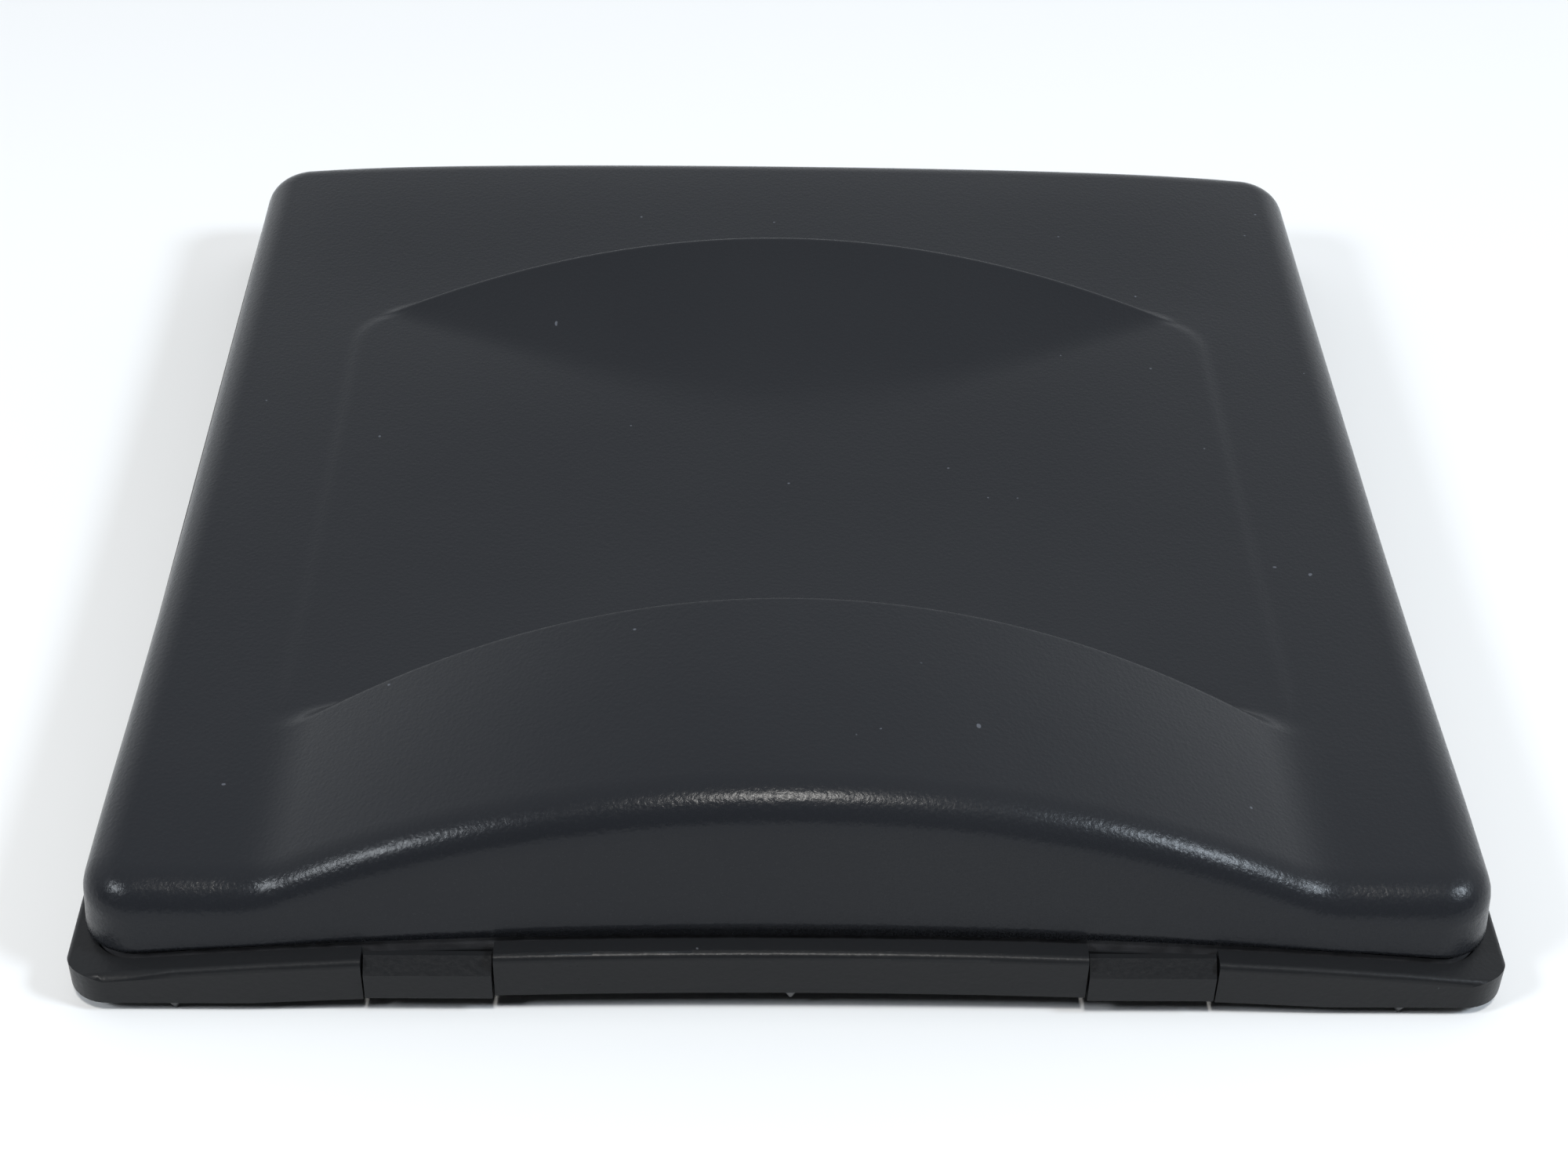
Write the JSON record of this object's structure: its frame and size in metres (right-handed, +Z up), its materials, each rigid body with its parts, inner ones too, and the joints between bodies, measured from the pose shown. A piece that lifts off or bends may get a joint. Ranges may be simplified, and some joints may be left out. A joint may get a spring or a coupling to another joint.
{
  "type": "post cap",
  "caption": "Low square post cap: a hollow lid with an arched front visor, clipped onto a base frame that sits over the end of a square post.",
  "frame": {"origin": "centre of the cap's footprint, level with the tips of the nibs it stands on", "axes": "+X to the right seen from the arched front, +Y to the rear, +Z up, along the post"},
  "size_m": [0.201, 0.2016, 0.0386],
  "materials": {
    "lid_plastic": "satin, fine spark-eroded grain",
    "frame_plastic": "satin",
    "seal_rubber": "matt",
    "pad_rubber": "matt, ribbed",
    "spring_steel": "blued strip",
    "pin_steel": "ground",
    "screw_steel": "zinc plated"
  },
  "bodies": {
    "base": {"base_frame": "frame_plastic", "weather_seal": "seal_rubber", "pivot_pin_front_left": "pin_steel", "pivot_pin_front_right": "pin_steel", "pivot_pin_rear_left": "pin_steel", "pivot_pin_rear_right": "pin_steel", "grip_pads_front": "pad_rubber", "grip_pads_rear": "pad_rubber", "grip_pads_left": "pad_rubber", "grip_pads_right": "pad_rubber", "fixing_screws": "screw_steel", "screw_washers": "screw_steel"},
    "lid": {"lid_shell": "lid_plastic"},
    "catch_front_left": {"catch_front_left": "frame_plastic", "spring_front_left": "spring_steel"},
    "catch_front_right": {"catch_front_right": "frame_plastic", "spring_front_right": "spring_steel"},
    "catch_rear_left": {"catch_rear_left": "frame_plastic", "spring_rear_left": "spring_steel"},
    "catch_rear_right": {"catch_rear_right": "frame_plastic", "spring_rear_right": "spring_steel"}
  },
  "joints": [
    {"name": "lid_lift", "type": "slide", "parent": "base", "child": "lid", "axis": [0, 0, 1], "range_m": [0, 0.05]},
    {"name": "press_front_left", "type": "hinge", "parent": "base", "child": "catch_front_left", "pos_m": [-0.05, -0.0885, 0.005], "axis": [-1, 0, 0], "range_deg": [0, 4], "stiffness_Nm_per_rad": 0.05, "springref_deg": -2.86},
    {"name": "press_front_right", "type": "hinge", "parent": "base", "child": "catch_front_right", "pos_m": [0.05, -0.0885, 0.005], "axis": [-1, 0, 0], "range_deg": [0, 4], "stiffness_Nm_per_rad": 0.05, "springref_deg": -2.86},
    {"name": "press_rear_left", "type": "hinge", "parent": "base", "child": "catch_rear_left", "pos_m": [-0.05, 0.0885, 0.005], "axis": [1, 0, 0], "range_deg": [0, 4], "stiffness_Nm_per_rad": 0.05, "springref_deg": -2.86},
    {"name": "press_rear_right", "type": "hinge", "parent": "base", "child": "catch_rear_right", "pos_m": [0.05, 0.0885, 0.005], "axis": [1, 0, 0], "range_deg": [0, 4], "stiffness_Nm_per_rad": 0.05, "springref_deg": -2.86}
  ]
}
